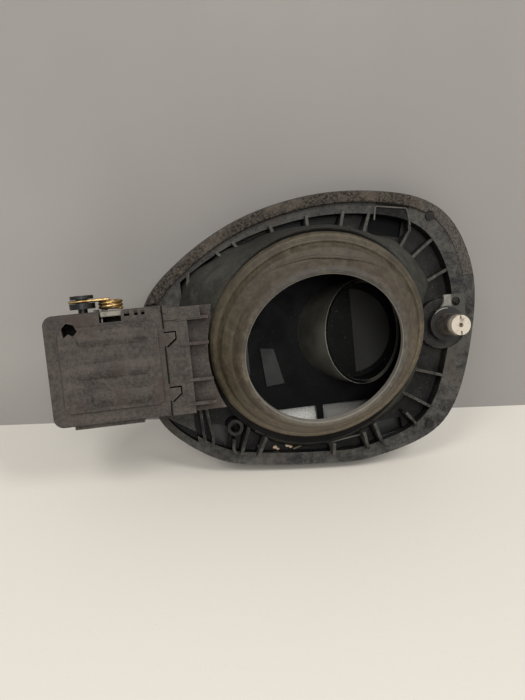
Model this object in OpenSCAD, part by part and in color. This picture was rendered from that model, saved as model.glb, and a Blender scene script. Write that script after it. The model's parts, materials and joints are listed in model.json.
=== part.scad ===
// Fuel filler flap unit of a car: moulded pocket with a tilted neck bowl, a flap on a gooseneck arm,
// an over-centre spring and a push latch. X runs from the hinge to the latch, Y points out of the car,
// Z is up, and the origin is the centre of the filler neck's opening at its inner lip.

/* [Rim] */
// Rim edge, from the neck axis towards the hinge
rim_left = 96.5; // [94:0.5:104]
// Rim edge, from the neck axis towards the latch
rim_right = 102; // [100:0.5:112]
// Rim edge above the neck axis
rim_top = 86; // [84:0.5:96]
// Rim edge below the neck axis
rim_bottom = 69; // [68:0.5:78]
// Rear face of the rim, outward from the neck lip
rim_depth = 37; // [36:0.5:42]
// Thickness of the rim plate and of the channel walls
rim_wall = 2.2; // [1.6:0.1:3]
// Width of the rim band at the latch side
band_right = 14.5; // [12:0.5:18]
// Width of the rim band at the top
band_top = 12.5; // [10:0.5:16]
// Width of the rim band at the bottom
band_bottom = 7; // [6:0.5:9]
// Depth of the channel between the rim and the neck bowl
channel_depth = 8.5; // [6:0.5:12]
// Height of the thin lip around the flap, outward from the rim
lip_height = 15.5; // [13:0.5:18]
// Thickness of that lip
lip_wall = 2; // [1.5:0.1:3]

/* [Neck] */
// Radius of the filler neck's opening
neck_bore_r = 42; // [38:0.5:44]
// Outer radius of the soft neck ring
neck_ring_r = 59.4; // [56:0.2:60]
// Depth of the neck ring along its axis
neck_ring_depth = 16; // [14:0.5:19]
// Downward tilt of the neck axis in degrees
neck_tilt = 20; // [14:1:24]
// Radius of the bowl wall
bowl_r = 60.2; // [60:0.2:63]
// Height of the bowl's centre above the neck axis
bowl_rise = 3.5; // [2:0.5:6]
// Thickness of the bowl wall
bowl_wall = 2.2; // [1.6:0.1:3]

/* [Hinge case] */
// Far end of the hinge case, from the neck axis
case_left = 140.5; // [136:0.5:150]
// Top of the hinge case
case_top = 31.5; // [29:0.5:35]
// Bottom of the hinge case, below the neck axis
case_bottom = 24.5; // [22:0.5:28]
// Thickness of the case walls
case_wall = 2.2; // [1.6:0.1:3]
// Length of the hinge cover
cover_length = 58.5; // [56:0.5:60]
// Thickness of the hinge cover's plate
cover_plate = 2.2; // [1.6:0.1:2.6]

/* [Hinge] */
// Pivot, from the neck axis towards the hinge end
pivot_left = 114; // [110:0.5:116]
// Pivot depth, inward from the rim's rear face
pivot_inset = 6.5; // [6:0.1:8]
// Radius of the hinge pin
pin_r = 2.5; // [2:0.1:2.6]
// Width of the gooseneck arm
arm_width = 34; // [24:1:36]
// Thickness of the gooseneck arm
arm_plate = 4; // [3:0.2:4.4]
// Forward leg of the arm, from the pivot towards the neck
arm_reach = 35; // [32:0.5:37]
// Wire thickness of the over-centre spring
spring_wire = 1.8; // [1.2:0.1:2]
// Outer diameter of the spring coil
spring_coil_d = 12.6; // [11:0.2:13]
// Turns of the spring coil
spring_turns = 3; // [2:1:4]

/* [Flap] */
// Gap all round between the flap and the lip
flap_gap = 2.3; // [1.6:0.1:4]
// Thickness of the painted skin
skin_wall = 1.6; // [1:0.1:2.2]
// Radius of the skin's crown
skin_crown_r = 1400; // [1200:50:3000]
// Thickness of the flap carrier
carrier_plate = 2.2; // [1.6:0.1:3]
// Outer radius of the cap holder
holder_r = 29.8; // [26:0.2:29.8]
// Wall of the cap holder
holder_wall = 2; // [1.4:0.1:3]
// Height of the cap holder at its tall side
holder_height = 33; // [20:1:35]
// Lean of the cap holder in degrees
holder_lean = 12.5; // [6:0.5:15]

/* [Latch] */
// Latch axis, from the neck axis
latch_right = 80.5; // [78:0.5:82]
// Latch axis above the neck axis
latch_up = 5; // [0:0.5:8]
// Outer radius of the latch sleeve
sleeve_r = 6.3; // [5.4:0.1:6.6]
// Length of the latch sleeve
sleeve_length = 27; // [22:0.5:29]
// Radius of the pale end cap
end_cap_r = 5.6; // [4.6:0.1:6]
// Width of the T-shaped latch head
head_width = 12; // [9:0.5:13]
// Travel of the plunger
latch_travel = 3.5; // [2:0.1:3.8]

/* [Hidden] */
$fn = 64;
far = 400;
fit = 0.1;
running_fit = 0.05;

// Depths along Y, from the neck lip outwards
floor_y = rim_depth + channel_depth;
floor_front_y = floor_y + rim_wall;
lip_front_y = rim_depth + lip_height;
carrier_y = floor_front_y + 1.3;
carrier_front_y = carrier_y + carrier_plate;
skin_front_y = carrier_front_y + 6;
hem_y = carrier_front_y + 0.6;

// Outline of the rim in shares of its four reaches, clockwise from the hinge side
RIM_SHAPE = [[-1, -0.03], [-0.943, 0.379], [-0.709, 0.651], [-0.371, 0.869], [0, 0.982], [0.346, 1],
             [0.702, 0.923], [0.904, 0.728], [1, 0.355], [0.952, -0.111], [0.831, -0.611],
             [0.648, -0.867], [0.308, -1], [0.038, -0.999], [-0.33, -0.944], [-0.598, -0.857],
             [-0.852, -0.603], [-0.959, -0.347]];
rim_steps = 6;

// A closed smooth curve through the points, and the same curve moved inwards
function smooth(p, n) = [for (i = [0:n - 1]) for (s = [0:rim_steps - 1])
    let (a = p[(i + n - 1) % n], b = p[i], c = p[(i + 1) % n], d = p[(i + 2) % n], t = s / rim_steps)
    0.5 * (2 * b + (c - a) * t + (2 * a - 5 * b + 4 * c - d) * t * t + (3 * b - a - 3 * c + d) * t * t * t)];
function inset(p, d, n) = [for (i = [0:n - 1])
    let (t = p[(i + 1) % n] - p[(i + n - 1) % n]) p[i] + d * [t[1], -t[0]] / norm(t)];
function reach(s, left, right, top, bottom) =
    [s[0] * (s[0] < 0 ? left : right), s[1] * (s[1] < 0 ? bottom : top)];
function egg(left, right, top, bottom) =
    smooth([for (s = RIM_SHAPE) reach(s, left, right, top, bottom)], len(RIM_SHAPE));
RIM = egg(rim_left, rim_right, rim_top, rim_bottom);
channel_margin = 6.5;
CHANNEL = egg(rim_left - channel_margin, rim_right - band_right, rim_top - band_top,
    rim_bottom - band_bottom);

// Channel end beside the hinge case, and the well that the arm swings through
channel_left = bowl_r + 10;
well_half = arm_width / 2 + 1.5;
well_right = pivot_left - arm_reach - 15.5;
well_left = rim_left - lip_wall - 0.5;

// Hinge
case_mid = (case_top - case_bottom) / 2;
cover_right = case_left - cover_length;
case_inner_front_y = rim_depth - case_wall;
pivot_y = rim_depth - pivot_inset;
knuckle_r = pin_r + 1.3;
arm_rear_y = 4.4;
arm_bend_r = 6;
web_y = 1.5;
web_wall = 1.9;
web_step_right = channel_left - 0.5;
strip_y = 8.5;

// Spring crank beside the pivot, and the spring's coil
crank_x = -pivot_left - 7.5;
crank_y = pivot_y - 15.5;
crank_post_r = 2.4;
crank_boss_r = crank_post_r + 1.8;
crank_radius = norm([crank_x + pivot_left, crank_y - pivot_y]);
crank_angle = atan2(crank_y - pivot_y, crank_x + pivot_left);
collar_z = case_top + 2;
collar_t = 3;
neck_z = collar_z + collar_t;
crank_neck_h = spring_wire + 0.3;
crank_neck_r = 3.2;
cap_z = neck_z + crank_neck_h;
opening_angle = 85;
coil_r = (spring_coil_d - spring_wire) / 2;
coil_x = crank_x + 14.2;
coil_y = crank_y;
coil_z = case_top + spring_wire / 2 + 0.4;
leg_z = neck_z + crank_neck_h / 2;

// Latch
latch_at = [latch_right, latch_up];
sleeve_front_y = rim_depth + 5.1;
sleeve_rear_y = rim_depth + 5.5 - sleeve_length;
plunger_rear_y = sleeve_rear_y + 14;
tub_r = 13;
tub_floor_y = rim_depth + 3.3;
plunger_r = 3.1;
shaft_r = 1.5;
head_rest_y = floor_front_y + 1.8;
head_t = 2;
head_depth = 3.4;
slot_gap = 1.2;
striker_plate = 1.4;
striker_y = head_rest_y - latch_travel - 0.5 - striker_plate;
end_cap_t = 4;

// A slab between two depths, drawn as seen from inside the car
module slab(y_rear, y_front) translate([0, y_front, 0]) rotate([90, 0, 0])
    linear_extrude(y_front - y_rear) children();
// A round bar along Y between two depths
module bar(at, r, y_rear, y_front) translate([at[0], y_front, at[1]]) rotate([90, 0, 0])
    cylinder(r = r, h = y_front - y_rear);
module on_neck_axis() rotate([90 + neck_tilt, 0, 0]) children();
module box2d(x0, z0, x1, z1) translate([x0, z0]) square([x1 - x0, z1 - z0]);
module round_box2d(x0, z0, x1, z1, r) {
    box2d(x0 + r, z0, x1 - r, z1);
    box2d(x0, z0 + r, x1, z1 - r);
    for (x = [x0 + r, x1 - r], z = [z0 + r, z1 - r]) translate([x, z]) circle(r);
}
module rim2d(d) polygon(inset(RIM, d, len(RIM)));
// A wall along a path of points, from its two sides
function path_side(p, shift) = [for (i = [0:len(p) - 1])
    let (d = p[min(i + 1, len(p) - 1)] - p[max(i - 1, 0)]) p[i] + shift * [-d[1], d[0]] / norm(d)];
function reversed(p) = [for (i = [len(p) - 1:-1:0]) p[i]];
module stroke2d(p, t) polygon(concat(path_side(p, t / 2), reversed(path_side(p, -t / 2))));

// Deep pocket under the hinge case, beside a flat gusset
gusset_tip = [-channel_left - 17, -case_bottom - 5.5];
gusset_foot = [-channel_left + 1, -case_bottom - 17];
pocket_edge = 4;
module side_pocket2d(grow) intersection() {
    rim2d(pocket_edge - grow);
    polygon([gusset_tip + [-20, 5 + grow], gusset_tip + [0, grow], gusset_foot + [grow, grow],
             gusset_foot + [grow, -40], gusset_tip + [-20, -50]]);
}
module channel2d(grow) {
    intersection() {
        polygon(inset(CHANNEL, -grow, len(CHANNEL)));
        box2d(-channel_left - grow, -far, far, far);
    }
    side_pocket2d(grow);
}

// Pocket housing: rim, lip and channel
module rim_and_channel() {
    slab(rim_depth, rim_depth + rim_wall) difference() {
        rim2d(0);
        channel2d(0);
    }
    slab(rim_depth, lip_front_y) difference() {
        rim2d(0);
        rim2d(lip_wall);
    }
    difference() {
        slab(rim_depth, floor_front_y) channel2d(rim_wall);
        slab(rim_depth - 1, floor_y) channel2d(0);
    }
}

// Thin ribs across the channel, radial to the neck, and walls that follow the hook bays.
// Their rear edges climb from the rim to the bowl.
RIB_ANGLES = [130, 122, 104, 87, 71, 35, 23, -18, -32];
WALLS = [[[44.8, 80], [34.9, 59.4]], [[66, 80], [64.8, 60.7], [55.4, 49]],
         [[-66.3, -28.4], [-65.9, -41.6], [-64, -60]], [[-63.1, -28.4], [-60.7, -45.1], [-62.6, -60]],
         [[-39.8, -38.5], [-47.5, -62]], [[-49, -47.4], [-49.9, -52.4], [-48.2, -62]],
         [[31.8, -46.9], [34.9, -55.2], [40, -66]], [[52.6, -44.3], [58.8, -51.5], [58, -64]],
         [[-64.2, 60], [-66.8, 32.7]], [[-30.8, -46.9], [-37, -60]], [[7.5, -54], [7, -66]],
         [[25.4, -52], [28.6, -64]]];
rib_wall = 1.6;
rib_foot_r = bowl_r / 2;
rib_low_y = rim_depth - 8;
rib_edge_y = rim_depth + 0.6;
rib_slope_r = bowl_r + 26;
module rib_profile() polygon([[rib_foot_r, rib_low_y], [bowl_r - bowl_wall, rib_low_y],
    [rib_slope_r, rib_edge_y], [far, rib_edge_y], [far, floor_y + 1], [rib_foot_r, floor_y + 1]]);
module ribs() intersection() {
    union() {
        for (a = RIB_ANGLES) rotate([0, -a, 0]) translate([0, 0, -rib_wall / 2]) linear_extrude(rib_wall)
            rib_profile();
        intersection() {
            slab(rib_low_y, floor_y + 1) for (w = WALLS) stroke2d(w, rib_wall);
            rotate([-90, 0, 0]) rotate_extrude($fn = 96) rib_profile();
        }
    }
    slab(0, floor_front_y) channel2d(rim_wall / 2);
}

// Hook bays: [x, z, heading, width, length], each a window with a snap hook at its rim end
BAYS = [[53, 67, 78, 20, 15], [46, -55, -84, 16, 11], [-56, -47, -104, 11, 13]];
hook_half = 3.2;
hook_t = 1.8;
hook_nose = 2.6;
hook_tip_y = rim_depth + 0.5;
module bay_at(b) translate([b[0], 0, b[1]]) rotate([0, -b[2], 0]) children();
module bay_window(b) bay_at(b) slab(floor_y - 1, floor_front_y + 1)
    box2d(-b[4] / 2, -b[3] / 2, b[4] / 2, b[3] / 2);
module snap_hook(b) bay_at(b) {
    slab(hook_tip_y, floor_y + 1) box2d(b[4] / 2, -hook_half, b[4] / 2 + hook_t, hook_half);
    translate([b[4] / 2, hook_tip_y, -hook_half]) linear_extrude(2 * hook_half)
        polygon([[hook_t / 2, 0], [hook_t / 2, 4.5], [0, 4.5], [-hook_nose, 3.1], [-0.6, 0]]);
}

// Hinge case: walls, a web that steps down towards the neck, and the well for the arm
web_top = case_top - 1.5;
strip_top_z = case_top - 7.5;
web_left = -cover_right + fit;
WEB_RIBS = [strip_top_z, case_top - 20.5, -case_bottom + 17, -case_bottom + 4.7];
web_rib_t = 1.5;
web_rib_rise = 0.6;
web_bar_rise = 0.9;
web_bar_head_r = 1.6;
web_rib_left = -web_step_right - 5.5;
mark_at = [-web_step_right - 5, 2.3];
mark_r = 3.5;
mark_h = 0.3;
mark_line = 0.6;
corner_r = 5;
ledge_drop = 1.8;
TONGUES = [case_top - 16.2, 11.8 - case_bottom];
tongue_reach = 5.6;
tongue_gap = 0.7;
module case_walls() {
    slab(cover_plate, rim_depth) round_box2d(-case_left, -case_bottom, -cover_right + 6, case_top, corner_r);
    slab(web_y, rim_depth) box2d(web_left, -case_bottom, -web_step_right, web_top);
    slab(strip_y, rim_depth) box2d(-web_step_right - 1, -case_bottom, -bowl_r / 2, web_top);
    slab(cover_plate, rim_depth / 2) box2d(10 - case_left, -case_bottom - ledge_drop, -cover_right - 14, 0);
}
module web_detail() {
    for (z = WEB_RIBS) slab(web_y - web_rib_rise, strip_y + 1)
        box2d(web_rib_left, z - web_rib_t / 2, -bowl_r + 1.2, z + web_rib_t / 2);
    slab(web_y - web_bar_rise, strip_y + 1) box2d(web_left, strip_top_z, -bowl_r - 2.7, web_top);
    bar([web_left + web_bar_head_r, web_top - web_bar_head_r / 2], web_bar_head_r,
        web_y - web_bar_rise - 0.4, web_y + 1);
    slab(web_y - mark_h, web_y + 1) translate(mark_at) difference() {
        circle(mark_r);
        circle(mark_r - mark_line);
    }
}
module case_hollow() {
    slab(-1, case_inner_front_y)
        round_box2d(case_wall - case_left, case_wall - case_bottom, -cover_right - 2, case_top - case_wall,
            corner_r - case_wall);
    slab(web_y + web_wall, case_inner_front_y) box2d(-cover_right - 5, case_wall - case_bottom,
        -web_step_right - web_wall, web_top - case_wall);
    slab(strip_y + web_wall, case_inner_front_y) box2d(-web_step_right - 3, case_wall - case_bottom,
        far / 2 - bowl_r, web_top - case_wall);
}
module case_solid() {
    difference() {
        case_walls();
        case_hollow();
    }
    difference() {
        web_detail();
        slab(web_y + web_wall, far) box2d(-far, -far, -web_step_right - web_wall, far);
    }
}
module tongue_slots() for (z = TONGUES) slab(-2, web_y + web_wall + 0.5) tongue2d(z, tongue_gap);
module arm_well() {
    slab(case_inner_front_y - 1, floor_front_y + 1)
        box2d(-well_left, case_mid - well_half, -well_right, case_mid + well_half);
    slab(carrier_y - foot_t - 0.7, floor_front_y + 1)
        box2d(-max(well_right, bowl_r) - 1, case_mid - well_half, -bowl_r / 2, case_mid + well_half);
}
// Curved slot in the case roof for the crank post
module crank_slot() translate([-pivot_left, pivot_y, case_top - case_wall - 1]) intersection() {
    difference() {
        cylinder(r = crank_radius + crank_post_r + 0.5, h = case_wall + 2);
        translate([0, 0, -1]) cylinder(r = crank_radius - crank_post_r - 0.5, h = case_wall + 4);
    }
    linear_extrude(case_wall + 2) polygon([[0, 0], for (i = [0:6])
        let (a = crank_angle - 12 + i * (opening_angle + 24) / 6) 40 * [cos(a), sin(a)]]);
}

// Drain spigot, walls round the latch's seat and bosses round the stops
drain_at = [-48, -40.5];
drain_bore_r = 2.8;
drain_wall = 1.7;
seat_wall = 1.6;
seat_collar = 2.2;
stop_boss = 2;

// The moulding is four pieces that meet face to face: rim pan, neck bowl, hinge case and latch seat
module bowl_zone(grow) bar([0, bowl_rise], bowl_r + grow, -40, far / 4);
module case_zone() slab(-20, rim_depth)
    box2d(-case_left - 1, -case_bottom - ledge_drop - 1, -bowl_r / 2, case_top + 0.2);
module pin_hole(gap) translate([-pivot_left, pivot_y, -far / 2]) cylinder(r = pin_r + gap, h = far);

module pocket_housing() color("#2e2c2b") difference() {
    union() {
        rim_and_channel();
        ribs();
        for (b = BAYS) snap_hook(b);
        slab(rim_depth, floor_front_y) box2d(web_left, -case_bottom, -bowl_r / 2, web_top);
        bar(drain_at, drain_bore_r + drain_wall, rim_depth - 6, floor_y + 1);
        for (p = STOPS) bar(p, stop_stem_r + stop_boss, rim_depth, stop_seat_y);
    }
    bowl_zone(fit);
    case_zone();
    arm_well();
    for (b = BAYS) bay_window(b);
    bar(latch_at, tub_r + seat_wall + fit, 0, far / 4);
    bar(drain_at, drain_bore_r, 0, far / 4);
    for (p = STOPS) bar(p, stop_stem_r + fit / 2, 0, stop_seat_y + 1);
}

// Wall parallel to Y, cut off by a tilted lip that carries the neck ring
bowl_lip = 5;
module neck_bowl() color("#38342e") difference() {
    intersection() {
        bar([0, bowl_rise], bowl_r, -40, floor_front_y);
        on_neck_axis() translate([0, 0, -far - neck_ring_depth]) cylinder(r = far, h = far);
    }
    difference() {
        bar([0, bowl_rise], bowl_r - bowl_wall, -40, far / 4);
        on_neck_axis() translate([0, 0, -neck_ring_depth - bowl_wall]) cylinder(r = far / 2, h = far / 2);
    }
    on_neck_axis() translate([0, 0, -neck_ring_depth - bowl_wall - 1]) cylinder(r = neck_ring_r - bowl_lip, h = 40);
    arm_well();
}

module hinge_case() color("#4a443e") difference() {
    case_solid();
    bowl_zone(fit);
    arm_well();
    tongue_slots();
    crank_slot();
    pin_hole(running_fit / 2);
}

module latch_seat() color("#34312f") difference() {
    union() {
        bar(latch_at, tub_r + seat_wall, tub_floor_y - rim_wall, floor_front_y);
        bar(latch_at, sleeve_r + seat_collar, rim_depth - 4, tub_floor_y);
    }
    bar(latch_at, tub_r, tub_floor_y, floor_front_y + 1);
    bar(latch_at, sleeve_r + fit, 0, tub_floor_y + 1);
}

// Soft ring moulded round the neck: a thin lip, a cone, a groove and an outer bead, over a hollow back.
// Points run from the bore over the lip and out to the bead, then back along the hollow.
ring_mid_r = (neck_bore_r + neck_ring_r) / 2;
ring_foot_y = fit / 2 - neck_ring_depth;
module neck_ring() color("#5f5648") on_neck_axis() rotate_extrude($fn = 96) polygon([
    [neck_bore_r, -2.4], [neck_bore_r, 0.6], [neck_bore_r + 0.9, 1.2], [neck_bore_r + 2.3, 1],
    [neck_bore_r + 4, -0.6], [neck_bore_r + 6.4, -4], [neck_bore_r + 7.8, -4.6],
    [ring_mid_r + 2.6, 0.4 - neck_ring_depth / 2], [neck_ring_r - 5.2, 6.2 - neck_ring_depth],
    [neck_ring_r - 4.6, 5 - neck_ring_depth], [neck_ring_r - 3.4, 5.4 - neck_ring_depth],
    [neck_ring_r - 1.8, 4.9 - neck_ring_depth], [neck_ring_r - 0.6, 3.6 - neck_ring_depth],
    [neck_ring_r, 1.8 - neck_ring_depth], [neck_ring_r, ring_foot_y], [neck_ring_r - 4.4, ring_foot_y],
    [neck_ring_r - 6, 2.6 - neck_ring_depth], [neck_ring_r - 7.4, 5.2 - neck_ring_depth],
    [neck_bore_r + 5.4, -6.8], [neck_bore_r + 2.6, -4.6]]);

// Grainy foam strip on the rim, over the top from the hinge side to the latch side
seal_t = 2.4;
seal_width = 6.2;
seal_edge = 0.6;
module rim_seal() color("#3a322d") slab(rim_depth - seal_t, rim_depth) intersection() {
    difference() {
        rim2d(seal_edge);
        rim2d(seal_edge + seal_width);
        translate(STOPS[0]) circle(stop_stem_r + 1.2);
    }
    box2d(-far, case_top + 1, far, far);
}

// Hinge cover: plate with a raised panel that carries three pillow ridges, and two tongues over the web
cover_edge = 0.6;
panel_inset = 7;
panel_rise = 1;
ridge_rise = 1;
ridge_half = 4;
ridge_curve = (ridge_half * ridge_half + ridge_rise * ridge_rise) / (2 * ridge_rise);
// Ridges: [left end from the case's left edge, right end from the cover's right edge, height]
RIDGES = [[15.5, 8.5, case_top - 13], [13.5, 8.5, case_mid - 1.2], [19.5, 8.5, 12.5 - case_bottom]];
notch_depth = 3.4;
NOTCHES = [[18.4, 2.8], [13.4, 1.8], [10, 1.8]];
chip_at = [13 - case_left, case_top - 8];
function ridge_left(r) = r[0] - case_left;
function ridge_right(r) = -cover_right - r[1];
function ridge_length(r) = ridge_right(r) - ridge_left(r) - 2 * ridge_half;
module cover_ridge(r) intersection() {
    slab(-panel_rise - 2 * ridge_rise, -panel_rise / 2)
        round_box2d(ridge_left(r), r[2] - ridge_half, ridge_right(r), r[2] + ridge_half, ridge_half - fit);
    translate([ridge_left(r) + ridge_half, ridge_curve - ridge_rise - panel_rise, r[2]]) {
        rotate([0, 90, 0]) cylinder(r = ridge_curve, h = ridge_length(r), $fn = 96);
        for (x = [0, ridge_length(r)]) translate([x, 0, 0]) sphere(r = ridge_curve, $fn = 96);
    }
}
// A tongue with a square shoulder over a pointed foot
module tongue2d(z, grow) translate([-cover_right, z]) polygon([[-1 - grow, 2.3 + grow],
    [tongue_reach + grow, 2.3 + grow], [tongue_reach + grow, -0.6 - grow], [3.6 + grow, -2.2 - grow],
    [0.9 + grow, -4.4 - grow], [-1 - grow, -2.6 - grow]]);
module hinge_cover() color("#55493f") difference() {
    union() {
        difference() {
            slab(0, cover_plate - fit / 2) round_box2d(cover_edge - case_left, cover_edge - case_bottom,
                -cover_right, case_top - cover_edge, corner_r);
            slab(-1, 5) box2d(coil_x - 5.4, case_top - 5.6, coil_x + 5.4, case_top + 5);
            for (n = NOTCHES) slab(-1, 5) box2d(-cover_right - n[0], case_top - notch_depth,
                -cover_right - n[0] + n[1], case_top + 5);
        }
        slab(-panel_rise, 0.2) round_box2d(panel_inset - case_left, panel_inset - case_bottom,
            -cover_right - 3, case_top - panel_inset, corner_r - 1);
        for (r = RIDGES) cover_ridge(r);
        for (z = TONGUES) slab(0, web_y - fit) tongue2d(z, 0);
    }
    slab(-2, 5) translate(chip_at)
        polygon([[-4, 1.2], [-1.4, 3.8], [2, 2.6], [3.8, -0.6], [1.4, -3], [-0.8, -1.6], [-3.2, -3.4]]);
}

// Steel pin through the case walls and the arm's knuckles
module hinge_pin() color("#8a8781") translate([-pivot_left, pivot_y, -case_bottom - 0.6]) {
    cylinder(r = pin_r, h = case_top + case_bottom + 1.6);
    translate([0, 0, case_top + case_bottom + 0.7]) cylinder(r = pin_r + 1.4, h = 1);
}

// Bent wire: a coil on a vertical axis with one leg to the crank and one to its block
wire_sides = 8;
turn_steps = 20;
coil_end = 360 * spring_turns - 90;
coil_pitch = (leg_z - coil_z) * 360 / coil_end;
leg_y = crank_y - crank_neck_r - spring_wire / 2;
function coil_point(a) = [coil_x + coil_r * cos(a), coil_y + coil_r * sin(a), coil_z + a / 360 * coil_pitch];
SPRING = concat(
    [[coil_x + coil_r, coil_y - 12, coil_z], [coil_x + coil_r, coil_y - 5, coil_z]],
    [for (a = [0:360 / turn_steps:coil_end]) coil_point(a)],
    [[coil_x - 8, leg_y - 0.6, leg_z], [crank_x, leg_y - fit, leg_z], [crank_x - 8, leg_y + 1.2, leg_z]]);
// A tube with a ring of corners at each point of a path
function path_dir(p, i, n) = let (d = p[min(i + 1, n - 1)] - p[max(i - 1, 0)]) d / norm(d);
function ring_at(c, d, r) = let (u = cross(d, [0.13, 0.09, 1]), v = u / norm(u), w = cross(v, d))
    [for (k = [0:wire_sides - 1]) c + r * (cos(360 * k / wire_sides) * v + sin(360 * k / wire_sides) * w)];
module wire(path, r) {
    n = len(path);
    points = [for (i = [0:n - 1]) each ring_at(path[i], path_dir(path, i, n), r)];
    sides = [for (i = [0:n - 2], k = [0:wire_sides - 1])
        let (a = i * wire_sides + k, b = i * wire_sides + (k + 1) % wire_sides)
        each [[a, a + wire_sides, b], [b, a + wire_sides, b + wire_sides]]];
    ends = [[for (k = [0:wire_sides - 1]) k], [for (k = [wire_sides - 1:-1:0]) (n - 1) * wire_sides + k]];
    polyhedron(points, concat(sides, ends));
}
module hinge_spring() color("#b08d4a") wire(SPRING, spring_wire / 2);

// Pale block in the roof's notch that carries the spring's fixed leg
module spring_block() color("#6f6c68") slab(cover_plate, coil_y - 6)
    box2d(coil_x - 5, case_top + fit, coil_x + 7.4, case_top + 0.35);

// Latch bracket, sleeve and end cap
bracket_y = rim_depth - 6;
bracket_t = 1.9;
module latch_bracket() color("#4a4745") slab(bracket_y, bracket_y + bracket_t) difference() {
    union() {
        translate(latch_at) circle(sleeve_r + 3.4);
        translate(latch_at) box2d(-6, 2, 12, 17);
    }
    translate(latch_at) circle(sleeve_r + fit);
    translate(latch_at + [-7, 15]) circle(6.5);
    translate(latch_at + [6.5, 12.6]) circle(2.6);
}
module latch_sleeve() color("#57504c") difference() {
    bar(latch_at, sleeve_r, sleeve_rear_y, sleeve_front_y);
    bar(latch_at, plunger_r + running_fit, sleeve_rear_y + 2, far / 4);
    bar(latch_at, plunger_r + 1.2, sleeve_rear_y + 2, plunger_rear_y);
}
module latch_end_cap() color("#d9d0bf") difference() {
    bar(latch_at, end_cap_r, sleeve_rear_y - end_cap_t, sleeve_rear_y - fit / 2);
    bar(latch_at, 1.3, sleeve_rear_y - end_cap_t - 1, sleeve_rear_y - 1);
    for (s = [-1, 1]) slab(sleeve_rear_y - end_cap_t - 1, sleeve_rear_y - end_cap_t + 1)
        translate(latch_at) box2d(-0.5, s * (end_cap_r - 2.2), 0.5, s * (end_cap_r + 1));
}
latch_coil_r = plunger_r + 0.5;
latch_coil_length = 9;
latch_coil_points = 56;
LATCH_SPRING = [for (i = [0:latch_coil_points]) let (a = i * 360 / 14)
    [latch_right + latch_coil_r * cos(a), sleeve_rear_y + 2.6 + i * latch_coil_length / latch_coil_points,
     latch_up + latch_coil_r * sin(a)]];
module latch_spring() color("#9a9792") wire(LATCH_SPRING, 0.4);

// Rubber stops in the rim
STOPS = [[76.8, 68], [67.5, -53]];
stop_stem_r = 1.8;
stop_r = 2.9;
stop_seat_y = rim_depth + rim_wall + 0.8;
module stop(at) {
    bar(at, stop_stem_r, rim_depth - 1.4, rim_depth + rim_wall + 1);
    bar(at, stop_r, stop_seat_y + fit / 2, carrier_y - 0.3);
    bar(at, stop_stem_r + 0.7, rim_depth - 2, rim_depth - 0.9);
}
module upper_stop() color("#1d1c1b") stop(STOPS[0]);
module lower_stop() color("#1d1c1b") stop(STOPS[1]);

// Gooseneck arm in plan: knuckle, rear bar, forward leg and foot under the carrier
foot_length = 46;
foot_t = 2.5;
arm_gusset = pivot_left - arm_reach - bowl_r - 6.8;
arm_gusset_t = 2;
module arm_plan() {
    t = arm_plate;
    x0 = -pivot_left;
    x1 = -pivot_left + arm_reach;
    translate([x0, pivot_y]) circle(knuckle_r);
    difference() {
        union() {
            translate([x0 - t / 2, arm_rear_y + arm_bend_r]) square([t, pivot_y - arm_rear_y - arm_bend_r]);
            translate([x0 - t / 2 + arm_bend_r, arm_rear_y]) square([arm_reach + t - 2 * arm_bend_r, t]);
            translate([x1 - t / 2, arm_rear_y + arm_bend_r]) square([t, carrier_y - arm_rear_y - arm_bend_r]);
            for (x = [x0 - t / 2 + arm_bend_r, x1 + t / 2 - arm_bend_r]) intersection() {
                translate([x, arm_rear_y + arm_bend_r]) difference() {
                    circle(arm_bend_r);
                    circle(arm_bend_r - t);
                }
                translate([x < -pivot_left + arm_reach / 2 ? x - arm_bend_r : x, arm_rear_y])
                    square([arm_bend_r, arm_bend_r]);
            }
        }
        translate([x0, pivot_y]) circle(pin_r + running_fit);
    }
    translate([x1 - t / 2, carrier_y - fit - foot_t]) square([foot_length, foot_t]);
}
module hinge_arm() color("#262525") difference() {
    union() {
        translate([0, 0, case_mid - arm_width / 2]) linear_extrude(arm_width) arm_plan();
        translate([0, 0, case_mid + arm_width / 2 - 3]) linear_extrude(3) {
            translate([crank_x, crank_y]) circle(crank_boss_r);
            translate([crank_x, crank_y - crank_boss_r]) square([-pivot_left - crank_x, 2 * crank_boss_r]);
        }
        for (z = [case_mid - arm_width / 2 + 6, case_mid + arm_width / 2 - 8]) translate([0, 0, z])
            linear_extrude(arm_gusset_t) translate([arm_reach - pivot_left, carrier_y])
                polygon([[0, -14], [arm_gusset, -2], [0, -2]]);
    }
    pin_hole(running_fit);
    translate([-pivot_left - 10, pivot_y - 6.5, case_mid - arm_width / 6]) cube([20, 13, arm_width / 3]);
}

// Crank post on the arm, out through the roof: collar, neck for the spring and cap
module spring_crank() color("#1f1e1e") translate([crank_x, crank_y, 0]) {
    translate([0, 0, case_mid + arm_width / 2 + fit / 2])
        cylinder(r = crank_post_r, h = collar_z - case_mid - arm_width / 2);
    translate([0, 0, collar_z]) cylinder(r = 6.5, h = collar_t);
    translate([0, 0, neck_z - 0.5]) cylinder(r = crank_neck_r, h = crank_neck_h + 1);
    translate([0, 0, cap_z]) cylinder(r = 5.9, h = 1.8);
}

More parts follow.
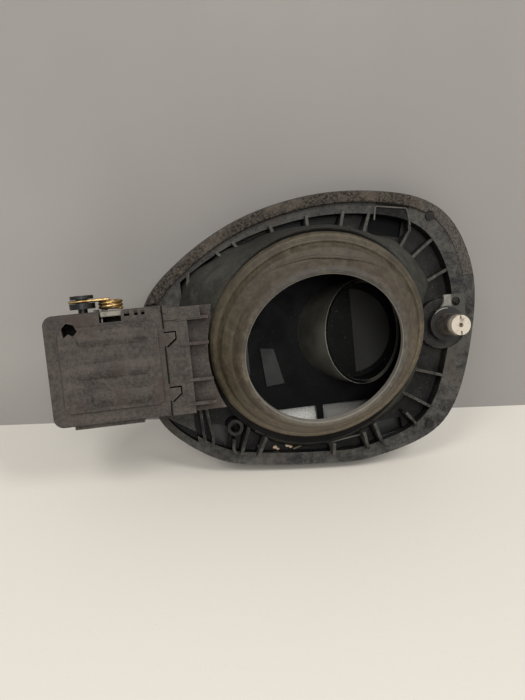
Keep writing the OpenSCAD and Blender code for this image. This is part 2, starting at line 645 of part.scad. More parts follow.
// Flap carrier: plate behind the skin with a folded lower edge and a strap over the bare skin
carrier_low = 36.5;
carrier_strap_x = 5;
carrier_left = 82;
module carrier2d(d) difference() {
    intersection() {
        rim2d(lip_wall + flap_gap + d);
        union() {
            box2d(-carrier_left, -carrier_low, far, far);
            box2d(carrier_strap_x - 2, -far, carrier_strap_x + 2, 0);
        }
    }
    striker_hollow2d();
}
module flap_carrier() color("#232323") {
    slab(carrier_y, carrier_front_y) carrier2d(0.8);
    slab(carrier_y, carrier_front_y + 0.4) difference() {
        carrier2d(2);
        intersection() {
            rim2d(lip_wall + flap_gap + 4);
            box2d(2 - carrier_left, 2 - carrier_low, far, far);
        }
    }
}

// Painted skin: a shallow crowned shell with a hem all round
module crown(drop) translate([0, skin_front_y - drop - skin_crown_r, 0]) sphere(r = skin_crown_r, $fn = 400);
module flap_skin() color("#a9abac") difference() {
    intersection() {
        slab(hem_y, skin_front_y + 1) rim2d(lip_wall + flap_gap);
        crown(0);
    }
    intersection() {
        slab(hem_y - 1, skin_front_y + 1) rim2d(lip_wall + flap_gap + skin_wall);
        crown(skin_wall);
    }
}

// Cap holder: a leaning cup whose rim slopes down to nothing at the latch side
holder_at = [bowl_r - bowl_wall - holder_r - 1.9, 6];
module holder_cup(r, y) translate([holder_at[0], y, holder_at[1]]) rotate([90, 0, holder_lean])
    translate([0, 0, -12]) cylinder(r = r, h = holder_height + 20, $fn = 96);
holder_slope = atan2(holder_height, 2 * holder_r - holder_height * tan(holder_lean));
module cap_holder() color("#3b3a3a") difference() {
    intersection() {
        holder_cup(holder_r, carrier_y - fit / 2);
        slab(-10, carrier_y - fit / 2) square(far, center = true);
    }
    intersection() {
        holder_cup(holder_r - holder_wall, carrier_y - fit / 2);
        slab(-20, carrier_y - 1.8) square(far, center = true);
    }
    translate([holder_at[0] + holder_r + 1, carrier_y - 2.2, 0]) rotate([0, 0, holder_slope])
        translate([-far / 2, -far / 2, -far / 2]) cube([far, far / 2, far]);
}
module holder_pad() color("#4d4c4b") slab(carrier_y - 2.6, carrier_y - 1.85) intersection() {
    translate(holder_at) circle(holder_r - holder_wall - 3);
    box2d(holder_at[0] + 2, -far, holder_at[0] + far, far);
}

// Slotted striker box that takes the T-shaped head
module striker_hollow2d() translate(latch_at) round_box2d(-6.7, -7.2, 6.7, 7.2, 1);
module latch_striker() color("#7c7a77") difference() {
    slab(striker_y, carrier_y - fit / 2) translate(latch_at) round_box2d(-8, -8.5, 8, 8.5, 2);
    slab(striker_y + striker_plate, far / 4) striker_hollow2d();
    slab(0, far / 4) translate(latch_at)
        square([head_depth + 2 * slot_gap, head_width + slot_gap], center = true);
}

// Latch plunger and its turning head
module latch_plunger() color("#b9b2a6") difference() {
    bar(latch_at, plunger_r, plunger_rear_y, striker_y - 1);
    bar(latch_at, shaft_r + running_fit, 0, far / 4);
}
module latch_head() color("#8d8a85") {
    bar(latch_at, shaft_r, plunger_rear_y + 2, head_rest_y + 0.5);
    slab(head_rest_y, head_rest_y + head_t) translate(latch_at)
        round_box2d(-head_depth / 2, -head_width / 2, head_depth / 2, head_width / 2, 1.2);
}

pocket_housing();
neck_bowl();
hinge_case();
latch_seat();
neck_ring();
rim_seal();
hinge_cover();
hinge_pin();
hinge_spring();
spring_block();
latch_bracket();
latch_sleeve();
latch_end_cap();
latch_spring();
upper_stop();
lower_stop();
hinge_arm();
spring_crank();
flap_carrier();
flap_skin();
cap_holder();
holder_pad();
latch_striker();
latch_plunger();
latch_head();
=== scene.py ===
"""A car's fuel flap unit seen from its rear: materials, dirt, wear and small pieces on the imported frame.
Lengths are in metres, in the part's own frame: X towards the latch, Y out of the car, Z up."""
import json
import math
import bmesh
import bpy
from mathutils import Matrix, Vector, noise


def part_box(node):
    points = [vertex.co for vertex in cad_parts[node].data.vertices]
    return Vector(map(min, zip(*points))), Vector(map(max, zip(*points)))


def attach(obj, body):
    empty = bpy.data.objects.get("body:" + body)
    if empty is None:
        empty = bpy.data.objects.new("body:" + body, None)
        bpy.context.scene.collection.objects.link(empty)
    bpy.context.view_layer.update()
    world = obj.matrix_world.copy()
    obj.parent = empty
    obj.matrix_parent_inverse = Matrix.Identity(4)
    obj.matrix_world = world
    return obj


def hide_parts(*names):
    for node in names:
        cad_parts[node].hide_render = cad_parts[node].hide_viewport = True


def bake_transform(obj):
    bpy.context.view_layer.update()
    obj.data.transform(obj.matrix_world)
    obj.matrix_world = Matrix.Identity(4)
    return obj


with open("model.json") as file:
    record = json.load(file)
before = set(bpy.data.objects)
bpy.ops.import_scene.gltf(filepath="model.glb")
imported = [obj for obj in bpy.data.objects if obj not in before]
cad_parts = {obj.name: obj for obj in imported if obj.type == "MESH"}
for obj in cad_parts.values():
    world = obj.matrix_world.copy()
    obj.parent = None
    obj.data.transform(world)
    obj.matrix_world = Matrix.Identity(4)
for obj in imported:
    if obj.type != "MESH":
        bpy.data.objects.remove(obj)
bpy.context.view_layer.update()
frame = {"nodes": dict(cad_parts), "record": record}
NODES = frame["nodes"]
MM = 0.001

# The upper hook bay's floor, painted black as shade: its middle, its turn and its half sizes
BAY_MIDDLE = Vector((0.0545, 0.037, 0.0705))
BAY_TURN = math.radians(-10)
BAY_HALF = (0.0098, 0.0062)
# The parting line beside the hinge cover, and the two tongues that cross it
COVER_EDGE = -0.08185
TONGUES = (0.0153, -0.0127)
TONGUE_HALF = 0.0046
# Lines along Y: through the latch, through the bowl and through the leaning cup
LATCH_AXIS = Vector((0.0805, 0.0, 0.005))
BOWL_MIDDLE = Vector((0.0, 0.0, 0.0035))
CUP_MIDDLE = Vector((0.0230, 0.0, 0.0060))
# The drain spigot's rear end
DRAIN_AT = Vector((-0.048, 0.033, -0.0405))

# The neck ring by distance from the neck's axis: where its rubbed lip with a painted highlight, its grey
# funnel and its brown cone end, each over a short way, and the two painted highlight lines on its bead
RING_LIP_END = (0.0421, 0.0427)
RING_FUNNEL_END = (0.0442, 0.0462)
RING_CONE_END = (0.0500, 0.0545)
RING_HIGHLIGHT_LINES = (0.0561, 0.0586)
# Depth along Y at which the housing's rim face ends and its channel starts, darker with less dust and painted
# shade
CHANNEL_FROM = 0.0375


# Camera and stage

# The camera looks at the rear of the part from a little to the hinge side and a little above it
CAMERA_AT = Vector((-0.0810, -0.3446, 0.0326))
CAMERA_RIGHT = Vector((0.98455, -0.14680, -0.09548))
CAMERA_UP = Vector((0.10699, 0.07257, 0.99161))
CAMERA_LENS = 34.97
CAMERA_SENSOR = 36.0
PICTURE_HEIGHT = 700
# How far the part is moved in the picture
SHIFT_RIGHT_PX = 1
SHIFT_DOWN_PX = 3.5

# The part leans back on a wall and is rolled a little on the table
LEAN = math.radians(20)
ROLL = math.radians(4.7)
STAGE_RIGHT = Vector((math.cos(ROLL), 0, -math.sin(ROLL)))
STAGE_UP = Vector((math.sin(ROLL) * math.cos(LEAN), -math.sin(LEAN), math.cos(ROLL) * math.cos(LEAN)))
STAGE_NEAR = STAGE_RIGHT.cross(STAGE_UP)
STAGE_SIZE = 4.0

# Soft lamps: their offset to the stage's right, near side and top, their size and their power in watts
LAMPS = {
    "ceiling_right": ((0.80, 0.75, 1.25), 0.5, 9.0),
    "ceiling_left": ((-0.70, 0.75, 1.25), 0.55, 7.5),
    "ceiling_front": ((-0.10, 1.45, 0.85), 0.6, 8.5),
}
LAMP_TINT = (1.0, 0.98, 0.95)
SKY_TINT = (1.0, 0.99, 0.97, 1.0)
SKY_STRENGTH = 0.46

# The filler neck's axis, out towards the camera, and the upward direction square to it
NECK_TILT = math.radians(20)
NECK_AXIS = Vector((0, -math.cos(NECK_TILT), -math.sin(NECK_TILT)))
NECK_UP = Vector((0, -math.sin(NECK_TILT), math.cos(NECK_TILT)))


def colour(red, green, blue):
    """A linear colour from its 0 to 255 values on screen."""
    shares = [c / 255 for c in (red, green, blue)]
    return tuple(s / 12.92 if s <= 0.04045 else ((s + 0.055) / 1.055) ** 2.4 for s in shares) + (1.0,)


def toned(tint, factor):
    """A colour made darker or lighter."""
    return tuple(min(1.0, c * factor) for c in tint[:3]) + (1.0,)


def make_camera():
    """The photograph's camera, turned by its own right and up directions."""
    data = bpy.data.cameras.new("camera")
    data.sensor_fit = "VERTICAL"
    data.sensor_height = CAMERA_SENSOR
    data.sensor_width = CAMERA_SENSOR
    data.lens = CAMERA_LENS
    data.shift_x = -SHIFT_RIGHT_PX / PICTURE_HEIGHT
    data.shift_y = SHIFT_DOWN_PX / PICTURE_HEIGHT
    data.clip_start = 0.01
    data.clip_end = 20
    camera = bpy.data.objects.new("camera", data)
    back = CAMERA_RIGHT.cross(CAMERA_UP)
    turn = Matrix((CAMERA_RIGHT, CAMERA_UP, back)).transposed().to_4x4()
    camera.matrix_world = Matrix.Translation(CAMERA_AT) @ turn
    bpy.context.scene.collection.objects.link(camera)
    bpy.context.scene.camera = camera


def furthest(direction):
    """How far the part reaches along a direction."""
    return max(direction.dot(v.co) for node in NODES.values() for v in node.data.vertices)


def make_plane(name, centre, right, up, material):
    """A square of the stage, which is no piece of the part."""
    corners = [(-1, -1), (1, -1), (1, 1), (-1, 1)]
    points = [centre + (right * a + up * b) * STAGE_SIZE / 2 for a, b in corners]
    mesh = bpy.data.meshes.new(name)
    mesh.from_pydata([tuple(p) for p in points], [], [(0, 1, 2, 3)])
    plane = bpy.data.objects.new(name, mesh)
    plane.data.materials.append(material)
    bpy.context.scene.collection.objects.link(plane)


def make_stage():
    """The table under the part's lowest point, and the wall that the part leans on."""
    floor_drop = furthest(-STAGE_UP)
    wall_reach = furthest(-STAGE_NEAR)
    line = -STAGE_UP * floor_drop - STAGE_NEAR * wall_reach
    make_plane("table", line + STAGE_NEAR * STAGE_SIZE / 2, STAGE_RIGHT, -STAGE_NEAR, table_finish())
    make_plane("wall", line + STAGE_UP * STAGE_SIZE / 2, STAGE_RIGHT, STAGE_UP, wall_finish())


def make_lamp(name, offset, size, power):
    """A soft square lamp that faces the part."""
    data = bpy.data.lights.new(name, "AREA")
    data.energy = power
    data.size = size
    data.color = LAMP_TINT
    lamp = bpy.data.objects.new(name, data)
    lamp.location = STAGE_RIGHT * offset[0] + STAGE_NEAR * offset[1] + STAGE_UP * offset[2]
    lamp.rotation_mode = "QUATERNION"
    lamp.rotation_quaternion = (-lamp.location).to_track_quat("-Z", "Y")
    bpy.context.scene.collection.objects.link(lamp)


def make_light():
    """The room's even light and its lamps."""
    world = bpy.data.worlds.new("room")
    world.use_nodes = True
    sky = world.node_tree.nodes["Background"]
    sky.inputs["Color"].default_value = SKY_TINT
    sky.inputs["Strength"].default_value = SKY_STRENGTH
    bpy.context.scene.world = world
    for name, (offset, size, power) in LAMPS.items():
        make_lamp(name, offset, size, power)
    bpy.context.scene.view_settings.view_transform = "Standard"


# Shader building blocks

class Shader:
    """A material under construction, with short calls for the nodes that the finishes share."""

    def __init__(self, name, roughness=0.6, specular=0.4, metallic=0.0):
        self.material = bpy.data.materials.new(name)
        self.material.use_nodes = True
        self.tree = self.material.node_tree
        self.base = self.tree.nodes["Principled BSDF"]
        self.base.inputs["Roughness"].default_value = roughness
        self.base.inputs["Specular IOR Level"].default_value = specular
        self.base.inputs["Metallic"].default_value = metallic
        self.place = self.tree.nodes.new("ShaderNodeTexCoord").outputs["Object"]

    def node(self, kind, **settings):
        made = self.tree.nodes.new(kind)
        for key, value in settings.items():
            setattr(made, key, value)
        return made

    def feed(self, value, socket):
        """Links an output to a socket, or sets the socket to a plain value."""
        if isinstance(value, bpy.types.NodeSocket):
            self.tree.links.new(value, socket)
        else:
            socket.default_value = value

    def maths(self, operation, a, b):
        made = self.node("ShaderNodeMath", operation=operation)
        self.feed(a, made.inputs[0])
        self.feed(b, made.inputs[1])
        return made.outputs[0]

    def vector(self, operation, a, b=None):
        """Vector arithmetic. Its result is a number for a dot product, a distance and a length."""
        made = self.node("ShaderNodeVectorMath", operation=operation)
        self.feed(a, made.inputs[0])
        if b is not None:
            self.feed(b, made.inputs[1])
        return made.outputs["Value" if operation in ("DOT_PRODUCT", "DISTANCE", "LENGTH") else "Vector"]

    def along(self, axis, place=None):
        """One coordinate of the shaded point, or of another place."""
        parts = self.node("ShaderNodeSeparateXYZ")
        self.feed(place if place else self.place, parts.inputs[0])
        return parts.outputs[axis]

    def facing(self):
        """The direction that the surface faces."""
        return self.node("ShaderNodeNewGeometry").outputs["Normal"]

    def upward(self):
        """How far a surface faces up on the stage, where dust settles."""
        return self.vector("DOT_PRODUCT", self.facing(), tuple(STAGE_UP))

    def stretched(self, x, y, z):
        """Coordinates scaled apart, for streaks and scratches."""
        return self.vector("MULTIPLY", self.place, (x, y, z))

    def noise(self, size, detail=4.0, rough=0.55, place=None):
        """Noise from 0 to 1 with spots about size metres across."""
        made = self.node("ShaderNodeTexNoise")
        self.feed(place if place else self.place, made.inputs["Vector"])
        self.feed(1 / size, made.inputs["Scale"])
        self.feed(detail, made.inputs["Detail"])
        self.feed(rough, made.inputs["Roughness"])
        return made.outputs["Fac"]

    def between(self, value, low, high, start=0.0, end=1.0):
        """A smooth step from start to end as the value goes from low to high."""
        made = self.node("ShaderNodeMapRange", interpolation_type="SMOOTHSTEP")
        for socket, number in zip(made.inputs, (value, low, high, start, end)):
            self.feed(number, socket)
        return made.outputs["Result"]

    def mix(self, share, a, b):
        """Colour a, or b where the share is 1."""
        made = self.node("ShaderNodeMix", data_type="RGBA")
        for name, value in (("Factor_Float", share), ("A_Color", a), ("B_Color", b)):
            self.feed(value, next(s for s in made.inputs if s.identifier == name))
        return next(s for s in made.outputs if s.identifier == "Result_Color")

    def spots(self, shade, tint, size, low, high, share, detail=2.0, rough=0.55):
        """The shade with a share of a tint in spots about size metres across, where noise rises past low."""
        return self.mix(self.between(self.noise(size, detail, rough), low, high, 0.0, share), shade, tint)

    def corner(self, distance, inside=False):
        """Near 1 in hollows, or on outer edges if inside, and 0 on open surfaces."""
        made = self.node("ShaderNodeAmbientOcclusion", samples=6, inside=inside, only_local=True)
        self.feed(distance, made.inputs["Distance"])
        return self.maths("SUBTRACT", 1.0, made.outputs["AO"])

    def bump(self, height, depth, strength=1.0, below=None):
        """Relief of a depth in metres, on top of another relief if one is given."""
        made = self.node("ShaderNodeBump")
        self.feed(height, made.inputs["Height"])
        self.feed(depth, made.inputs["Distance"])
        self.feed(strength, made.inputs["Strength"])
        if below:
            self.feed(below, made.inputs["Normal"])
        return made.outputs["Normal"]

    def finish(self, shade, roughness=None, normal=None):
        """The material, with its colour and what else varies over the surface."""
        self.feed(shade, self.base.inputs["Base Color"])
        if roughness is not None:
            self.feed(roughness, self.base.inputs["Roughness"])
        if normal is not None:
            self.feed(normal, self.base.inputs["Normal"])
        return self.material


def within(s, value, middle, reach, soft):
    """Near 1 where the value is within reach of the middle, with a soft edge."""
    gap = s.maths("ABSOLUTE", s.maths("SUBTRACT", value, middle), 0.0)
    return s.between(gap, reach - soft, reach + soft, 1.0, 0.0)


def flat_reach(s, middle):
    """Distance of the shaded point from a line along Y through the middle."""
    return s.vector("DISTANCE", s.vector("MULTIPLY", s.place, (1.0, 0.0, 1.0)), tuple(middle))


def neck_reach(s):
    """Distance of the shaded point from the neck's axis."""
    return s.vector("LENGTH", s.vector("CROSS_PRODUCT", s.place, tuple(NECK_AXIS)))


# Finishes

def moulding(name, plastic, dust, dusting, stain, grime_and_shade_share, patch=0.022, clean_and_shaded_depth=None):
    """Moulded plastic with settled dust, mottled dirt, speckles, wiped streaks, rubbed edges that are partly
    a painted highlight, and painted shade in its hollows. Its dirt has patches about patch metres across. The
    call for black gives the share of black at each place, painted shade in some places and grime, a dark
    joint or plain darkening in others. Deeper along Y than the given depth the plastic keeps most of its own
    dark colour, less so towards the latch, and there it is also darkened as painted shade."""
    s = Shader(name, roughness=0.5, specular=0.2)
    broad = s.noise(patch, 8.0, 0.72)
    fine = s.noise(patch / 8, 7.0, 0.75)
    wiped = s.noise(0.012, 6.0, 0.7, s.stretched(0.35, 1.0, 1.6))
    dirt = s.maths("ADD", s.between(broad, 0.36, 0.64, 0.0, 0.32), s.between(fine, 0.36, 0.68, 0.0, 0.40))
    dirt = s.maths("ADD", dirt, s.between(wiped, 0.42, 0.68, 0.0, 0.26))
    settled = s.between(s.upward(), 0.0, 0.9, 0.0, 0.35)
    cover = s.maths("MULTIPLY", s.maths("ADD", dirt, settled), 2 * dusting)
    if clean_and_shaded_depth:
        deep = s.between(s.along("Y"), clean_and_shaded_depth - 0.0008, clean_and_shaded_depth + 0.0018)
        left_on = s.between(s.along("X"), 0.020, 0.055, 0.10, 0.42)
        cover = s.maths("MULTIPLY", cover, s.between(deep, 0.0, 1.0, 1.0, left_on))
    cover = s.between(cover, 0.0, 1.15)
    shade = s.mix(cover, plastic, dust)
    if clean_and_shaded_depth:
        # Painted shade: the deep channel is mixed toward near black.
        shade = s.mix(s.maths("MULTIPLY", deep, 0.45), shade, colour(8, 8, 9))
    shade = s.spots(shade, stain, patch * 1.6, 0.52, 0.66, 0.6, 4.0, 0.6)
    dark = toned(plastic, 0.4)
    light = toned(dust, 1.55)
    shade = s.spots(shade, dark, 0.0016, 0.56, 0.68, 0.5, 4.0, 0.7)
    shade = s.spots(shade, light, 0.0009, 0.64, 0.73, 0.55)
    # Painted shade: the plastic darkens in hollows.
    hollow_shade = s.between(s.corner(0.004), 0.25, 0.8, 0.0, 0.55)
    shade = s.mix(hollow_shade, shade, dark)
    # Rubbed edges: wear, and partly a painted highlight along the edges.
    rubbed_and_highlit = s.between(s.corner(0.0011, inside=True), 0.35, 0.75, 0.0, 0.6)
    shade = s.mix(s.maths("MULTIPLY", rubbed_and_highlit, s.between(fine, 0.32, 0.58)), shade, light)
    # Black from the given call: painted shade in the hook bay, grime on the drain, the dark parting line and
    # the slope's darker band.
    shade = s.mix(grime_and_shade_share(s), shade, colour(12, 11, 10))
    rough = s.between(cover, 0.0, 1.0, 0.4, 0.85)
    grain = s.bump(s.noise(0.0007, 5.0, 0.65), 0.00012, 0.9)
    return s.finish(shade, rough, s.bump(fine, 0.0004, 0.6, grain))


def bay_shade_and_drain_grime(s):
    """Painted shade: a black floor in the upper hook bay, from its frame in the rim to the channel. Also
    grime on the drain.
    """
    turned = s.node("ShaderNodeVectorRotate", rotation_type="AXIS_ANGLE")
    s.feed(s.place, turned.inputs["Vector"])
    s.feed((0.0, 1.0, 0.0), turned.inputs["Axis"])
    s.feed(BAY_TURN, turned.inputs["Angle"])
    s.feed(tuple(BAY_MIDDLE), turned.inputs["Center"])
    across = within(s, s.along("X", turned.outputs[0]), BAY_MIDDLE.x, BAY_HALF[0], 0.0003)
    upright = within(s, s.along("Z", turned.outputs[0]), BAY_MIDDLE.z, BAY_HALF[1], 0.0003)
    bay = s.maths("MULTIPLY", s.maths("MULTIPLY", across, upright), 0.95)
    drain = s.between(s.vector("DISTANCE", s.place, tuple(DRAIN_AT)), 0.007, 0.011, 0.55, 0.0)
    return s.maths("MAXIMUM", bay, drain)


def cover_gap(s):
    """The dark parting line between the hinge cover and the case's web, broken by the two tongues."""
    line = within(s, s.along("X"), COVER_EDGE, 0.0004, 0.0002)
    for height in TONGUES:
        line = s.maths("SUBTRACT", line, within(s, s.along("Z"), height, TONGUE_HALF, 0.0002))
    return s.maths("MULTIPLY", s.between(line, 0.0, 0.5), 0.9)


def slope_darkening(s):
    """The slope is darker in a band across its middle, above and below the neck, and dustier to both sides.
    """
    return s.maths("MULTIPLY", within(s, s.along("X"), -0.004, 0.034, 0.012), 0.6)


def housing_finish():
    """Black pocket moulding: grey dust on its rim face and rib edges, darker down in the channel with less
    dust and painted shade, and a hook bay floor painted black as shade.
    """
    return moulding("housing_plastic", colour(24, 24, 25), colour(82, 80, 76), 0.62, colour(68, 62, 56),
                    bay_shade_and_drain_grime, clean_and_shaded_depth=CHANNEL_FROM)


def cover_finish():
    """Hinge cover and case: warm grey-brown road dust over black plastic."""
    return moulding("cover_plastic", colour(42, 39, 37), colour(82, 76, 71), 0.62, colour(62, 50, 46),
                    cover_gap, patch=0.014)


def skirt_finish():
    """The bowl's outer slope: dark grey with fine pale dust."""
    return moulding("bowl_slope", colour(26, 27, 26), colour(70, 70, 64), 0.52, colour(52, 48, 41),
                    slope_darkening, patch=0.008)


def table_finish():
    """The pale table, with faint specks."""
    s = Shader("table", roughness=0.45, specular=0.3)
    shade = s.mix(s.noise(0.4, 2.0), colour(222, 217, 207), colour(230, 225, 216))
    shade = s.spots(shade, colour(196, 188, 176), 0.0009, 0.62, 0.72, 0.18)
    return s.finish(shade, None, s.bump(s.noise(0.002), 0.00005, 0.3))


def wall_finish():
    """The grey wall. From behind it is clear, and it lets the room's light through, so that views from the
    back show the part."""
    s = Shader("wall", roughness=0.5, specular=0.25)
    streaks = s.noise(0.35, 4.0, 0.6, s.stretched(1.0, 1.0, 0.35))
    shade = s.mix(s.between(streaks, 0.35, 0.7), colour(147, 144, 141), colour(160, 157, 153))
    s.finish(shade, None, s.bump(s.noise(0.003), 0.0001, 0.3))
    one_way = s.node("ShaderNodeMixShader")
    rays = s.node("ShaderNodeLightPath")
    passing = s.maths("MAXIMUM", rays.outputs["Is Shadow Ray"], rays.outputs["Is Diffuse Ray"])
    passing = s.maths("MAXIMUM", passing, s.node("ShaderNodeNewGeometry").outputs["Backfacing"])
    s.feed(passing, one_way.inputs[0])
    s.feed(s.base.outputs[0], one_way.inputs[1])
    s.feed(s.node("ShaderNodeBsdfTransparent").outputs[0], one_way.inputs[2])
    s.feed(one_way.outputs[0], s.tree.nodes["Material Output"].inputs["Surface"])
    return s.material


def ring_finish():
    """Soft neck ring: pale rubbed lip that is partly a painted highlight, grey funnel, brown cone with dark
    blotches and an olive-brown bead with two painted highlight lines. Its left side is browner, its top
    darker and its bottom lighter. Its hollows, and its cone and bead on the left, are darkened as painted
    shade."""
    s = Shader("neck_rubber", roughness=0.6, specular=0.3)
    reach = neck_reach(s)
    broad = s.noise(0.030, 5.0, 0.62)
    fine = s.noise(0.0035, 7.0, 0.72)
    wavy = s.maths("ADD", reach, s.between(broad, 0.0, 1.0, -0.0012, 0.0012))
    grey = s.mix(s.between(fine, 0.38, 0.66), colour(70, 67, 62), colour(98, 94, 87))
    brown = s.mix(s.between(fine, 0.36, 0.68), colour(70, 61, 50), colour(96, 86, 73))
    olive = s.mix(s.between(fine, 0.36, 0.68), colour(70, 62, 49), colour(99, 90, 73))
    shade = s.mix(s.between(wavy, *RING_FUNNEL_END), grey, brown)
    shade = s.mix(s.between(wavy, *RING_CONE_END), shade, olive)
    # Painted highlights: two light lines along the bead.
    for reach_at in RING_HIGHLIGHT_LINES:
        line = s.maths("MULTIPLY", within(s, reach, reach_at, 0.00035, 0.00025),
                       s.between(fine, 0.30, 0.55, 0.15, 0.5))
        shade = s.mix(line, shade, colour(122, 111, 93))
    leftward = s.between(s.along("X"), -0.055, -0.02, 0.6, 0.0)
    browner = s.mix(s.between(fine, 0.36, 0.68), colour(76, 66, 48), colour(106, 93, 69))
    shade = s.mix(leftward, shade, browner)
    blotch = s.maths("MULTIPLY", s.between(s.noise(0.016, 4.0, 0.6), 0.54, 0.64), s.between(fine, 0.3, 0.55))
    shade = s.mix(s.maths("MULTIPLY", blotch, 0.55), shade, colour(50, 43, 36))
    pale = s.maths("MULTIPLY", s.between(s.noise(0.009, 6.0, 0.7), 0.52, 0.66), s.between(fine, 0.35, 0.6))
    shade = s.mix(s.maths("MULTIPLY", pale, 0.45), shade, colour(112, 102, 86))
    shade = s.spots(shade, colour(36, 33, 28), 0.0011, 0.60, 0.70, 0.55, 3.0)
    shade = s.spots(shade, colour(126, 116, 98), 0.0012, 0.63, 0.72, 0.5, 3.0, 0.6)
    # Painted shade: darker in the ring's hollows and creases.
    shade = s.mix(s.between(s.corner(0.003), 0.4, 0.9, 0.0, 0.35), shade, colour(40, 35, 28))
    shade = s.mix(s.between(s.along("Z"), -0.010, 0.040, 0.0, 0.45), shade, colour(46, 42, 37))
    shade = s.mix(s.between(s.along("Z"), -0.045, -0.020, 0.42, 0.0), shade, colour(108, 99, 85))
    # Painted shade: the cone and bead darker on the left side.
    shaded = s.between(s.along("X"), -0.045, -0.025, 0.4, 0.0)
    shade = s.mix(s.maths("MULTIPLY", s.between(reach, 0.0445, 0.0455), shaded), shade, colour(48, 44, 36))
    # The lip's pale rubbed edge: wear, and partly a painted highlight.
    shade = s.mix(s.between(reach, *RING_LIP_END, 0.55, 0.0), shade, colour(140, 136, 128))
    rough = s.between(fine, 0.3, 0.7, 0.40, 0.75)
    creases = s.bump(s.noise(0.012, 4.0, 0.6), 0.0012, 0.5)
    return s.finish(shade, rough, s.bump(s.noise(0.0011, 5.0), 0.0002, 0.8, creases))


def foam_finish():
    """Grainy near-black foam with paler patches, painted shade in its pits, greyer where it is worn towards
    the latch.
    """
    s = Shader("seal_foam", roughness=0.95, specular=0.1)
    grit = s.noise(0.0011, 6.0, 0.75)
    shade = s.mix(s.between(grit, 0.38, 0.62), colour(34, 31, 29), colour(84, 78, 71))
    shade = s.spots(shade, colour(96, 88, 79), 0.010, 0.50, 0.68, 0.6, 4.0)
    # Painted shade: darker in the foam's pits.
    shade = s.mix(s.between(s.corner(0.0015), 0.25, 0.7, 0.0, 0.7), shade, colour(20, 18, 17))
    worn = s.mix(s.between(grit, 0.40, 0.60), colour(62, 57, 54), colour(90, 87, 82))
    shade = s.mix(s.between(s.along("X"), 0.066, 0.084, 0.0, 0.9), shade, worn)
    return s.finish(shade, None, s.bump(grit, 0.0005, 1.0))


def steel_finish():
    """Plain steel with rust in patches."""
    s = Shader("steel", roughness=0.35, metallic=1.0)
    rust = s.between(s.noise(0.003, 5.0), 0.5, 0.7)
    return s.finish(s.mix(rust, colour(150, 148, 144), colour(112, 84, 60)), s.between(rust, 0, 1, 0.3, 0.7))


def wire_finish():
    """Zinc-plated spring wire, gold passivated, with dull brown patches."""
    s = Shader("spring_wire", roughness=0.3, metallic=1.0)
    tarnish = s.between(s.noise(0.004, 5.0, 0.6), 0.42, 0.66)
    shade = s.mix(tarnish, colour(206, 176, 122), colour(128, 100, 62))
    shade = s.spots(shade, colour(70, 54, 36), 0.0009, 0.62, 0.72, 1.0)
    return s.finish(shade, s.between(tarnish, 0, 1, 0.34, 0.55), s.bump(s.noise(0.0012), 0.00002, 0.4))


def paint_finish():
    """The flap's skin: glossy silver-grey paint outside. Its rear face is bright and speckled with dust where
    the neck shows it, darker beyond the carrier's strap as a painted shadow, and near black round the neck as
    painted shade."""
    s = Shader("body_paint", roughness=0.36)
    s.base.inputs["Coat Weight"].default_value = 0.5
    fine = s.noise(0.0011, 5.0, 0.75)
    rear = s.mix(s.between(s.noise(0.02, 4.0), 0.35, 0.65), colour(250, 250, 244), colour(234, 234, 228))
    # Painted shadow: the rear face darker beyond the carrier's strap.
    rear = s.mix(s.between(s.along("X"), 0.006, 0.009, 0.0, 0.9), rear, colour(146, 146, 141))
    rear = s.mix(s.between(fine, 0.52, 0.62, 0.0, 0.5), rear, colour(128, 127, 122))
    rear = s.spots(rear, colour(78, 76, 72), 0.0009, 0.62, 0.70, 0.7)
    # Painted shade: the rear face near black beyond the neck's reach.
    rear = s.mix(s.between(flat_reach(s, BOWL_MIDDLE), 0.053, 0.056), rear, colour(30, 30, 30))
    face = s.mix(s.between(s.noise(0.03, 5.0, 0.6), 0.40, 0.70), colour(176, 178, 180), colour(160, 161, 162))
    face = s.spots(face, colour(122, 118, 110), 0.0012, 0.66, 0.74, 0.5, 3.0)
    outward = s.along("Y", s.node("ShaderNodeTexCoord").outputs["Normal"])
    shade = s.mix(s.between(outward, -0.35, -0.10, 1.0, 0.0), face, rear)
    return s.finish(shade, None, s.bump(fine, 0.00003, 0.4))


def plain_plastic(name, body, grime_and_shade, share=0.5, roughness=0.5):
    """A small plastic piece with grime in patches, more of it with a larger share, the grime tint in corners
    as painted shade, and fine scratches.
    """
    s = Shader(name, roughness=roughness)
    patches = s.between(s.noise(0.006, 5.0, 0.65), 0.62 - share * 0.4, 0.85 - share * 0.3)
    shade = s.mix(patches, body, grime_and_shade)
    # Painted shade: corners darken toward the grime tint.
    shade = s.mix(s.between(s.corner(0.002), 0.2, 0.8, 0.0, 0.7), shade, grime_and_shade)
    scratch = s.noise(0.004, 2.0, 0.5, s.stretched(1.0, 1.0, 14.0))
    shade = s.mix(s.between(scratch, 0.66, 0.72, 0.0, 0.5), shade, toned(body, 1.35))
    return s.finish(shade, s.between(patches, 0, 1, roughness, 0.85), s.bump(s.noise(0.0007), 0.00008, 0.5))


def dark_plastic(name, body, dust, roughness, specular=0.4):
    """Black inner plastic, smooth, with faint haze and a few dust specks."""
    s = Shader(name, roughness=roughness, specular=specular)
    haze = s.between(s.noise(0.018, 4.0, 0.6), 0.4, 0.7, 0.0, 0.5)
    shade = s.mix(haze, body, dust)
    shade = s.spots(shade, colour(110, 106, 98), 0.0009, 0.70, 0.77, 0.4)
    rough = s.between(haze, 0.0, 0.5, roughness, roughness + 0.2)
    return s.finish(shade, rough, s.bump(s.noise(0.0007), 0.00006, 0.5))


